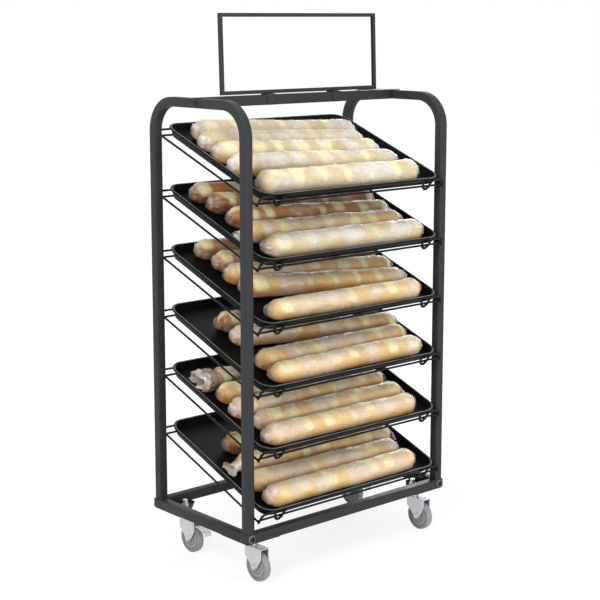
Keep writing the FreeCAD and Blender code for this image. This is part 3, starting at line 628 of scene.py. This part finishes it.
# The formed front wire: legs that drop below the floor wires and lean in, a crest between them, and
# a dip near each end, DIP_MOUTH wide at the crest and DIP_FOOT wide below.
LEG_DROP = 4.0
LEG_LEAN = 7.6
CREST = 21.0
DIP_X = SIDE_X - 68.6
DIP_MOUTH = 37.0
DIP_FOOT = 17.0
DIP_DROP = 6.0
WIRE_BEND = 5.0
WIRE_SECTION = round_section(WIRE)


def formed_wire(y):
    """Corners of the front wire, from its left foot to its right foot."""
    half = [
        (SIDE_X, -LEG_DROP), (SIDE_X - LEG_LEAN, CREST),
        (DIP_X + DIP_MOUTH / 2, CREST), (DIP_X + DIP_FOOT / 2, -DIP_DROP),
        (DIP_X - DIP_FOOT / 2, -DIP_DROP), (DIP_X - DIP_MOUTH / 2, CREST),
    ]
    return [(-x, y, z) for x, z in half] + [(x, y, z) for x, z in reversed(half)]


def cradle_shape():
    """Two side wires, two floor wires between them, the rear stop wire, and the formed front wire."""
    shape = Shape()
    for x in (-SIDE_X, SIDE_X):
        sweep(shape, [(x, -FRONT, 0), (x, REAR, 0)], WIRE_SECTION, (0, 0, 1))
    floor_x = SIDE_X - WIRE
    crossing = ((floor_x, WIRE - FRONT, 0), (floor_x, REAR_FLOOR, 0), (INNER_X, REAR + WIRE, STOP_RISE))
    for x, y, z in crossing:
        sweep(shape, [(-x, y, z), (x, y, z)], WIRE_SECTION, (0, 1, 0))
    sweep(shape, rounded_route(formed_wire(-FRONT - WIRE), WIRE_BEND), WIRE_SECTION, (0, 1, 0))
    return shape


for number in SHELVES:
    wires = cradle_shape().object(f"cradle_wires_{number}", matrix=shelf_matrix(number))
    dress(wires, WIRE_COAT)
    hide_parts(f"shelf_cradle_{number}")

# ---- pans ----

# PAN_PLACE is how far a pan's middle lies down the slope from its cradle's, and PAN_BASE how far its
# underside is above the middle of the floor wires. RIM_TURNS are degrees round the rolled rim. Where the
# rim stands out most it carries a painted highlight: the next two lengths give how far in from its edge
# and down from its top.
PAN_WIDTH = 660.0
PAN_DEPTH = 457.0
PAN_HEIGHT = 25.0
PAN_SHEET = 1.2
PAN_CORNER = 45.0
PAN_PLACE = 8.0
PAN_BASE = 3.3
RIM_ROLL = 3.0
RIM_TURNS = (28, 52, 75, 100, 125, 150, 180, 208, 235, 262)
HIGHLIGHT_INSET = 6.5
HIGHLIGHT_DEPTH = 0.5


def pan_section():
    """A pan's wall cut through, as (inset from the rim's edge, height): from its floor to its base."""
    floor = PAN_BASE + PAN_SHEET
    top = PAN_BASE + PAN_HEIGHT
    inside = [
        (40, floor), (17, floor), (14.9, floor + 0.5), (13.7, floor + 1.7),
        (8.9, top - 4.5), (8.0, top - 2.0),
    ]
    rim = []
    for turn in map(math.radians, RIM_TURNS):
        inset = RIM_ROLL + 0.9 + (RIM_ROLL + 1.0) * math.cos(turn)
        rim.append((inset, top - RIM_ROLL + RIM_ROLL * math.sin(turn)))
    outside = [
        (6.4, top - 4.9), (7.0, top - 6.0), (12.4, PAN_BASE + 2.2), (13.4, PAN_BASE + 0.6),
        (15.4, PAN_BASE), (40, PAN_BASE),
    ]
    return inside + rim + outside


def pan_ring(inset, height):
    """The pan's outline, in from the rim's outer edge."""
    corner = max(PAN_CORNER - inset, 1.0)
    across = PAN_WIDTH / 2 - inset - corner
    along = PAN_DEPTH / 2 - inset - corner
    return [(x, y - PAN_PLACE, height) for x, y in rounded_rectangle(across, along, corner, 10)]


def sheet_pan(name, matrix):
    """A pan that keeps where its rim carries a painted highlight."""
    section = pan_section()
    shape = Shape()
    shape.rings([pan_ring(inset, height) for inset, height in section])
    pan = shape.object(name, matrix=matrix, sharp=40)
    rim_highlight, = fields(pan, ("rim_highlight", "FLOAT"))
    around = len(pan.data.vertices) // len(section)
    for index in range(len(pan.data.vertices)):
        inset, height = section[index // around]
        # The painted highlight lies along the top of the rolled rim.
        on_rim = inset < HIGHLIGHT_INSET and height > PAN_BASE + PAN_HEIGHT - HIGHLIGHT_DEPTH
        rim_highlight.data[index].value = 1.0 if on_rim else 0.0
    return pan


for number in SHELVES:
    pan = sheet_pan(f"sheet_pan_{number}", shelf_matrix(number))
    dress(pan, PAN, f"pan_{number}")
    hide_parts(f"tray_{number}")

# ---- loaves ----

# A loaf on its pan: its place up the slope, its turn in degrees, how far it lies to the right along
# itself, half its length, its girth, how brown it is, its crust and film, and how far the film
# reaches past its left and its right end. A left reach below zero is an open sleeve.
Loaf = namedtuple("Loaf", "along turn right half_length girth bake crust left_reach right_reach")

# The loaves of each pan, from the top pan down, and from the rear of a pan to its front.
ROWS = [
    [
        Loaf(117.9, -6.5, -8, 270, 1.1, 0.3, "pale", 6, 6),
        Loaf(50.1, -6.5, -33, 268, 1.1, 0.35, "pale", 7, 7),
        Loaf(-20.1, -6, -36, 270, 1.13, 0.4, "pale", 9, 26),
        Loaf(-95.7, -5, -36, 276, 1.14, 0.35, "pale", 6, 10),
        Loaf(-182.7, -1.2, -21, 278, 1.15, 0.25, "pale", 7, 5),
    ],
    [
        Loaf(120.3, -5, -16, 272, 1.04, 0.85, "brown", 6, 8),
        Loaf(45.3, -7, -4, 274, 1.06, 0.8, "brown", 8, 7),
        Loaf(-34.5, -6, -4, 270, 1.06, 0.7, "brown", 7, 7),
        Loaf(-108.9, -3, -12, 270, 1.06, 0.5, "gold", 24, 8),
        Loaf(-182.7, -1, 1, 278, 1.09, 0.3, "pale", 14, 8),
    ],
    [
        Loaf(129.9, -8, 10, 272, 1.05, 0.7, "brown", 5, 8),
        Loaf(57.9, -8, 16, 270, 1.05, 0.75, "brown", 5, 8),
        Loaf(-14.1, -8, 9, 276, 1.05, 0.6, "gold", 5, 8),
        Loaf(-86.1, -8, 5, 270, 1.06, 0.6, "gold", 8, 13),
        Loaf(-182.7, -1, 4, 273, 0.97, 0.3, "gold", 13, 6),
    ],
    [
        Loaf(56.1, -7, 25, 270, 1.05, 0.85, "brown", 14, 7),
        Loaf(-20.1, -7, 27, 278, 1.06, 0.65, "gold", 8, 8),
        Loaf(-117.9, 0, 11, 271, 1.03, 0.45, "gold", 7, 8),
        Loaf(-182.7, 0, 11, 275, 0.99, 0.35, "gold", 9, 6),
    ],
    [
        Loaf(87.9, -3, 6, 264, 1.03, 0.9, "brown", -50, 8),
        Loaf(18.3, -2, -14, 270, 1.02, 0.6, "gold", 6, 7),
        Loaf(-50.1, -1, -19, 276, 1.03, 0.55, "gold", 8, 12),
        Loaf(-117.9, 0, 0, 266, 1.03, 0.4, "gold", 7, 16),
        Loaf(-182.7, 0, -10, 275, 1.03, 0.35, "gold", 13, 6),
    ],
    [
        Loaf(39.9, -5, 27, 268, 1.05, 0.8, "brown", 8, 9),
        Loaf(-44.1, -3, 10, 274, 1.06, 0.65, "gold", 32, 18),
        Loaf(-116.7, -1, -17, 270, 1.03, 0.45, "gold", 8, 8),
        Loaf(-182.7, 0, -9, 274, 1.07, 0.35, "gold", 9, 7),
    ],
]

# A loaf of girth 1: its width and height, how long its blunt ends are, and the share of its height
# at which it is widest. Bread lies BREAD_LIFT above the pan's floor, with its film between them.
LOAF_WIDTH = 58.5
LOAF_HEIGHT = 54.0
LOAF_END = 33.0
WAIST = 0.44
BREAD_LIFT = 0.9
LOAF_BASE = PAN_BASE + PAN_SHEET + BREAD_LIFT

# Points of a loaf's ring, and rings of its blunt ends and between them.
LOAF_COUNT = 26
END_RINGS = 9
LOAF_RINGS = 62

# The splits of a row, how far the first and the last are from the loaf's ends, and how far each is
# moved along at most. The rows lie at these degrees round the loaf, from its rear over its top. Sizes
# are halves, in millimetres along and degrees round, and a split lifts the crust by SPLIT_RISE.
SPLITS = 7
SPLIT_MARGIN = 35
SPLIT_SHIFT = 16
FRONT_SHOULDER = (98, 138)
REAR_SHOULDER = (40, 84)
SPLIT_WIDTHS = (11, 25)
SPLIT_TURNS = (30, 56)
SPLIT_DEPTHS = (0.45, 0.85, 0.95, 1.0, 1.0)
SPLIT_RISE = 0.6


def clamped(value):
    return max(0.0, min(1.0, value))


def power(value, exponent):
    """A power that keeps the sign."""
    return math.copysign(abs(value) ** exponent, value)


def random_offset(seed):
    """A place in the noise, some metres off, for a pattern that no other loaf has."""
    rng = random.Random(seed)
    return Vector((rng.uniform(-9, 9), rng.uniform(-9, 9), rng.uniform(-9, 9)))


def loaf_height(girth):
    """A thicker loaf is taller too, by about half as much."""
    return LOAF_HEIGHT * (0.45 + 0.55 * girth)


def loaf_share(x, half_length, seed):
    """How full a loaf is at a ring: blunt at both ends, a little uneven between."""
    over = max(abs(x) - (half_length - LOAF_END), 0) / LOAF_END
    share = max(1 - min(over, 1.0) ** 2.3, 0.0) ** 0.5
    return share * (1 + 0.05 * noise.noise(Vector((x * 0.011, seed * 3.7, 0.3))))


def loaf_ring(x, girth, count, seed, share):
    """One ring of a loaf, flat below and round above, drawn in by its share at the loaf's ends."""
    lean = 3.2 * noise.noise(Vector((x * 0.006, seed * 1.9, 7.1)))
    height = loaf_height(girth)
    middle = height * WAIST
    ring = []
    for i in range(count):
        t = 2 * math.pi * i / count
        y = power(math.cos(t), 0.88) * LOAF_WIDTH / 2 * girth * share
        rise = math.sin(t)
        if rise < 0:
            z = -(abs(rise) ** 0.5) * middle * (0.45 + 0.55 * share) * min(1.0, share * 3)
        else:
            z = rise ** 0.94 * (height - middle) * share
        bulge = 1 + 0.035 * noise.noise(Vector((x * 0.02, y * 0.04, z * 0.04 + seed * 2.3)))
        ring.append(Vector((x, y * bulge + lean, middle + z * bulge)))
    return ring


def loaf_stations(half_length):
    """Places of a loaf's rings, closer together at both ends."""
    turns = np.linspace(0, math.pi / 2, END_RINGS)
    end = list(-half_length + LOAF_END * (1 - np.cos(turns)) * 0.999 + 0.05)
    inner = list(np.linspace(-half_length + LOAF_END, half_length - LOAF_END, LOAF_RINGS))[1:-1]
    return end + inner + [-x for x in reversed(end)]


def crust_splits(seed, half_length):
    """A row of splits along the front shoulder, then one along the rear: place, turn, sizes, depth."""
    rng = random.Random(seed)
    pitch = (2 * half_length - 2 * SPLIT_MARGIN) / (SPLITS - 1)
    splits = []
    for index in range(2 * SPLITS):
        shift = rng.uniform(-SPLIT_SHIFT, SPLIT_SHIFT)
        place = SPLIT_MARGIN - half_length + (index % SPLITS) * pitch + shift
        about = rng.uniform(*(FRONT_SHOULDER if index < SPLITS else REAR_SHOULDER))
        half_width = rng.uniform(*SPLIT_WIDTHS)
        half_turn = rng.uniform(*SPLIT_TURNS)
        splits.append((place, about, half_width, half_turn, rng.choice(SPLIT_DEPTHS)))
    return splits


def split_open(splits, x, y, z):
    """How open the crust is at a point, 0 to 1. Splits slant across the loaf."""
    turned = math.degrees(math.atan2(z - LOAF_HEIGHT * WAIST, y))
    opened = 0.0
    for place, about, half_width, half_turn, depth in splits:
        along = abs(x - place + y * 0.3) / half_width
        around = abs(turned - about) / half_turn
        opened = max(opened, math.exp(-along ** 4 - around ** 5) * depth)
    return opened


def bread_piece(name, seed, loaf, matrix):
    """The bread itself, with the broad slanting splits of its crust."""
    half_length = loaf.half_length
    rings = []
    for x in loaf_stations(half_length):
        rings.append(loaf_ring(x, loaf.girth, LOAF_COUNT, seed, loaf_share(x, half_length, seed)))
    shape = Shape()
    shape.rings(rings)
    thing = mesh_object(name, shape.points, shape.faces, True, matrix)
    splits = crust_splits(seed, half_length)
    wanted = (("grain", "FLOAT_VECTOR"), ("bake", "FLOAT"), ("split", "FLOAT"))
    grain, bake, split = fields(thing, *wanted)
    offset = random_offset(seed)
    normals = [v.normal.copy() for v in thing.data.vertices]
    for index, vertex in enumerate(thing.data.vertices):
        x, y, z = (c / MM for c in vertex.co)
        opened = split_open(splits, x, y, z)
        vertex.co = vertex.co + normals[index] * (opened * SPLIT_RISE * MM)
        grain.data[index].vector = vertex.co + offset
        top = clamped((z - 6) / (LOAF_HEIGHT - 12))
        at_end = clamped((abs(x) - half_length + 60) / 50)
        # Browner towards the bottom, partly as the crust's golden lower sides and partly as painted
        # shade; browner at the ends too.
        bake.data[index].value = loaf.bake * (1.5 - 0.85 * top) + 0.3 * at_end * (1 - 0.6 * top)
        split.data[index].value = min(opened, 1.0)
    thing.data.update()
    return thing


# ---- bags ----

# The film leaves the bread FILM_SHORT before its end. What reaches further than TAIL past that is a
# gathered tail, open at its end, and a shorter end is closed. No point is lower than FILM_FLOOR.
FILM_SHORT = 2.0
TAIL = 15
FILM_FLOOR = 0.15

# A tail is narrowest NECK past the bread, and down at the height TAIL_Z SINK past it.
NECK = 16.0
SINK = 22.0
TAIL_Z = 9

# The seeds of the fine creases and of the film's pattern are that far from the loaf's own.
FINE_SEED = 31
FILM_SEED = 77

# Points of a bag's ring, rings over the middle of the loaf, and about how far apart they are past
# its ends.
BAG_COUNT = 40
BAG_RINGS = 84
RING_PITCH = 4


def crease(x, t, seed, fine):
    """Height of the film's pinched folds, sharp along their ridges, slanting round the loaf."""
    along = x * (0.052 if fine else 0.019)
    slant = Vector((along + 0.75 * t, 2.2 * t * (1.6 if fine else 1.0) - along * 0.5, seed * 1.37))
    value = abs(noise.noise(slant))
    return max(0.0, 1 - value * (5.5 if fine else 4.2)) ** 1.5


def shares(start, end, reach):
    """Even steps between two shares of a reach, more of them for a longer one."""
    return np.linspace(start, end, 4 + int(reach / RING_PITCH))


def bag_stations(bread_end, left_reach, right_reach):
    """Places of the film's rings: past the left end, along the bread, and past the right end."""
    straight = bread_end - LOAF_END
    left = [-bread_end - left_reach * share for share in shares(1, 0, left_reach)]
    right = [bread_end + right_reach * share for share in shares(0, 1, right_reach)]
    spans = (
        (-bread_end, -straight, END_RINGS),
        (-straight, straight, BAG_RINGS),
        (straight, bread_end, END_RINGS),
    )
    along = [x for start, end, count in spans for x in list(np.linspace(start, end, count))[1:]]
    return left + along + right[1:]


def film_size(past, share, reach, sleeve, tail):
    """How wide and how tall the film is at a ring, as shares of a full loaf's."""
    if past > 0 and sleeve:
        return 0.98 + 0.2 * past ** 2, 0.94 - 0.55 * past ** 2
    if past > 0 and tail:
        neck = clamped(past * reach / NECK)
        flare = max(0.0, past - 0.35) / 0.65
        full = max(share, 0.5)
        return (1 - 0.42 * neck + 0.62 * flare) * full, (1 - 0.72 * neck + 0.12 * flare) * full
    return share * (1 - 0.5 * past ** 2), share * (1 - 0.42 * past ** 2)


def bag_ring(x, seed, half_length, girth, reach, sleeve):
    """One ring of the film, and how loose it is at each of the ring's points."""
    side = -1 if x < 0 else 1
    bread_end = half_length - FILM_SHORT
    past = max(abs(x) - bread_end, 0.0) / reach
    inside = math.copysign(min(abs(x), bread_end - 4.0), x)
    tail = reach > TAIL and not sleeve
    wide, tall = film_size(past, loaf_share(inside, half_length, seed), reach, sleeve, tail)
    middle = loaf_height(girth) * WAIST
    at_end = clamped((abs(x) - half_length + 70) / 60.0)
    ring, loose = [], []
    for i, point in enumerate(loaf_ring(x, girth, BAG_COUNT, seed, 1.0)):
        t = 2 * math.pi * i / BAG_COUNT
        broad = crease(x, t, seed, False)
        sharp = crease(x, t, seed + FINE_SEED, True)
        stand = 0.6 + (1.7 + 1.3 * at_end) * broad + (0.4 + 0.9 * at_end) * sharp
        shift = 0.0
        if past > 0:
            swell = noise.noise(Vector((t * 2, x * 0.05, seed)))
            stand += reach * 0.13 * past * (1 + math.sin(t * 9 + seed + 7 * swell))
            shift = reach * 0.3 * past * noise.noise(Vector((t * 2.3, seed * 1.1, 4.0)))
        stand *= 1 - 0.9 * max(0.0, -math.sin(t)) ** 0.5
        y = point.y * wide + math.cos(t) * stand
        z = middle + (point.z - middle) * tall + math.sin(t) * stand
        if tail and past > 0:
            z -= (middle - TAIL_Z) * min(1.0, past * reach / SINK) * (1 - tall)
        ring.append((x + shift * side, y, max(FILM_FLOOR, z)))
        folded = (broad * 0.3 + sharp * 0.22) * (0.5 + 0.5 * at_end)
        loose.append(min(1.0, folded + past * (1.1 if tail or sleeve else 0.2)))
    return ring, loose


def bag_piece(name, seed, loaf, matrix):
    """The film about a loaf: close on top, creased along its sides, crumpled past both ends."""
    left_reach, right_reach = abs(loaf.left_reach), loaf.right_reach
    rings, loose_at = [], []
    for x in bag_stations(loaf.half_length - FILM_SHORT, left_reach, right_reach):
        reach = left_reach if x < 0 else right_reach
        sleeve = x < 0 and loaf.left_reach < 0
        ring, looseness = bag_ring(x, seed, loaf.half_length, loaf.girth, reach, sleeve)
        rings.append(ring)
        loose_at += looseness
    shape = Shape()
    shape.rings(rings, cap_first=left_reach <= TAIL, cap_last=right_reach <= TAIL)
    thing = mesh_object(name, shape.points, shape.faces, True, matrix)
    offset = random_offset(seed + FILM_SEED)
    wanted = (("grain", "FLOAT_VECTOR"), ("loose", "FLOAT"), ("upper", "FLOAT"))
    grain, loose, upper = fields(thing, *wanted)
    for index, vertex in enumerate(thing.data.vertices):
        grain.data[index].vector = vertex.co + offset
        loose.data[index].value = loose_at[index]
        upper.data[index].value = 0.5 + 0.5 * math.sin(2 * math.pi * (index % BAG_COUNT) / BAG_COUNT)
    return thing


for number, rows in enumerate(ROWS, 1):
    for row, loaf in enumerate(rows, 1):
        seed = number * 10 + row
        turn = Matrix.Rotation(math.radians(loaf.turn), 4, "Z")
        lie = turn @ Matrix.Translation((loaf.right * MM, 0, 0))
        spot = shelf_matrix(number) @ Matrix.Translation((0, loaf.along * MM, LOAF_BASE * MM)) @ lie
        bread = bread_piece(f"loaf_{number}_{row}", seed, loaf, spot)
        dress(bread, CRUSTS[loaf.crust], f"pan_{number}")
        bag = bag_piece(f"bag_{number}_{row}", seed, loaf, spot)
        dress(bag, FILMS[loaf.crust], f"pan_{number}")
        if row == 1:
            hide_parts(f"bread_{number}")

# ---- casters ----

# Places of the stems from the middle of the rack, and how far a wheel trails behind its stem.
STEM_X = 310.0
STEM_Y = 146.0
TRAIL = 32.0
WHEEL_RADIUS = 41.5

# Half of a wheel's outline as (radius, distance from its middle): the bore, a raised centre, a
# stepped hub, and the tyre up to its rounded tread.
WHEEL_HALF = [
    (4.06, 12.2), (10.5, 12.2), (11.5, 11.4), (12.2, 9.2), (19.0, 8.4), (20.0, 9.6), (23.0, 9.6),
    (24.0, 8.2), (28.0, 8.0), (28.8, 9.4), (33.5, 10.4), (37.6, 10.9), (40.2, 9.0), (41.3, 5.2),
    (WHEEL_RADIUS, 1.5),
]
WHEEL_OUTLINE = WHEEL_HALF + [(radius, -out) for radius, out in reversed(WHEEL_HALF)]


def turned_wheel(name, centre):
    """A wheel about its axle, which keeps how far from the axle each of its points is."""
    shape = Shape()
    lathe(shape, WHEEL_OUTLINE, centre, (1, 0, 0), 72)
    wheel = shape.object(name, sharp=30)
    ring, = fields(wheel, ("ring", "FLOAT"))
    for index, vertex in enumerate(wheel.data.vertices):
        y, z = vertex.co.y / MM - centre[1], vertex.co.z / MM - centre[2]
        ring.data[index].value = math.hypot(y, z) / WHEEL_RADIUS
    return wheel


for corner, sx, sy in CORNERS:
    centre = (STEM_X * sx, MIDDLE + STEM_Y * sy - TRAIL, WHEEL_RADIUS)
    wheel = turned_wheel(f"wheel_{corner}_turned", centre)
    dress(wheel, WHEEL, f"wheel_{corner}")
    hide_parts(f"caster_wheel_{corner}")
    paint(f"caster_fork_{corner}", ZINC)
for corner in ("rear_left", "rear_right"):
    paint(f"brake_pedal_{corner}", ZINC)

# ---- floor and lamps ----

FLOOR_REACH = 9000.0

# Lamps: place, aim and size in metres, and power in watts.
LAMPS = {
    "key_light": ((-3.75, -1.4, 3.0), (0, 0, 0.8), (2.2, 2.2), 132),
    "front_light": ((1.0, -4.0, 1.0), (0, 0, 0.6), (2.0, 2.4), 68),
    "top_light": ((0.1, -0.4, 3.8), (0, 0, 0.6), (2.6, 2.2), 34),
    "back_light": ((3.5, 2.0, 1.7), (0, 0, 0.7), (2.2, 2.2), 70),
}


def seen(tree):
    """1 for what the camera, reflections and clear things see, and 0 for light that falls on things."""
    path = tree.node("LightPath").outputs
    directly = tree.maths("MAXIMUM", path["Is Camera Ray"], path["Is Glossy Ray"])
    return tree.maths("MAXIMUM", directly, path["Is Transmission Ray"])


def stage_floor():
    """White paper that glows where it is seen, a little less so under the rack."""
    shape = Shape()
    corners = [(x * FLOOR_REACH, y * FLOOR_REACH, 0) for x, y in ((-1, -1), (1, -1), (1, 1), (-1, 1))]
    shape.add(corners, [(0, 1, 2, 3)])
    floor = shape.object("studio_floor", smooth=False)
    look = Look("studio_floor")
    look.tree.nodes.remove(look.shader)
    far = look.node("VectorMath", {0: look.coordinates()}, operation="LENGTH").outputs["Value"]
    paper = look.node("BsdfDiffuse", {"Color": (0.9, 0.9, 0.9, 1)}).outputs[0]
    glow = look.node("Emission", {"Color": (1, 1, 1, 1), "Strength": 1.12}).outputs[0]
    share = look.times(seen(look), look.range(far, 0.7, 2.4, 0.74, 0.94))
    mixed = look.node("MixShader", {0: share, 1: paper, 2: glow}).outputs[0]
    look.link(mixed, look.output.inputs[0])
    floor.data.materials.append(look.material)


def soft_lamp(name, place, aim, size, watts):
    light = bpy.data.lights.new(name, "AREA")
    light.shape = "RECTANGLE"
    light.size, light.size_y = size
    light.energy = watts
    thing = bpy.data.objects.new(name, light)
    bpy.context.scene.collection.objects.link(thing)
    thing.location = place
    thing.rotation_euler = (Vector(aim) - Vector(place)).to_track_quat("-Z", "Y").to_euler()


def studio_world():
    """White where it is seen, and a soft cool light on everything else."""
    world = bpy.data.worlds.new("studio")
    bpy.context.scene.world = world
    world.use_nodes = True
    sky = NodeTree(world.node_tree)
    room = sky.node("Background", {"Color": (0.95, 0.97, 1.0, 1), "Strength": 0.34}).outputs[0]
    white = sky.node("Background", {"Color": (1, 1, 1, 1), "Strength": 1.0}).outputs[0]
    mixed = sky.node("MixShader", {0: seen(sky), 1: room, 2: white}).outputs[0]
    sky.node("OutputWorld", {"Surface": mixed})


stage_floor()
for name, (place, aim, size, watts) in LAMPS.items():
    soft_lamp(name, place, aim, size, watts)
studio_world()
bpy.context.scene.view_settings.view_transform = "Standard"

# ---- camera ----

# The camera that was fitted to the photograph: how far round the rack it stands and how far up it
# looks from, in radians, its place in metres, and its lens and sensor in millimetres.
YAW = -0.7212
RAISED = 0.16667
CAMERA_PLACE = (-2.69794, -3.05371, 1.491)
LENS = 88.042
SENSOR = 36.0
SHIFT = -0.06

back = Vector((math.sin(YAW) * math.cos(RAISED), -math.cos(YAW) * math.cos(RAISED), math.sin(RAISED)))
lens = bpy.data.cameras.new("photo_camera")
lens.sensor_width = SENSOR
lens.lens = LENS
lens.shift_y = SHIFT
lens.clip_start = 0.1
lens.clip_end = 60.0
camera = bpy.data.objects.new("photo_camera", lens)
bpy.context.scene.collection.objects.link(camera)
camera.location = CAMERA_PLACE
camera.rotation_mode = "QUATERNION"
camera.rotation_quaternion = (-back).to_track_quat("-Z", "Y")
bpy.context.scene.camera = camera
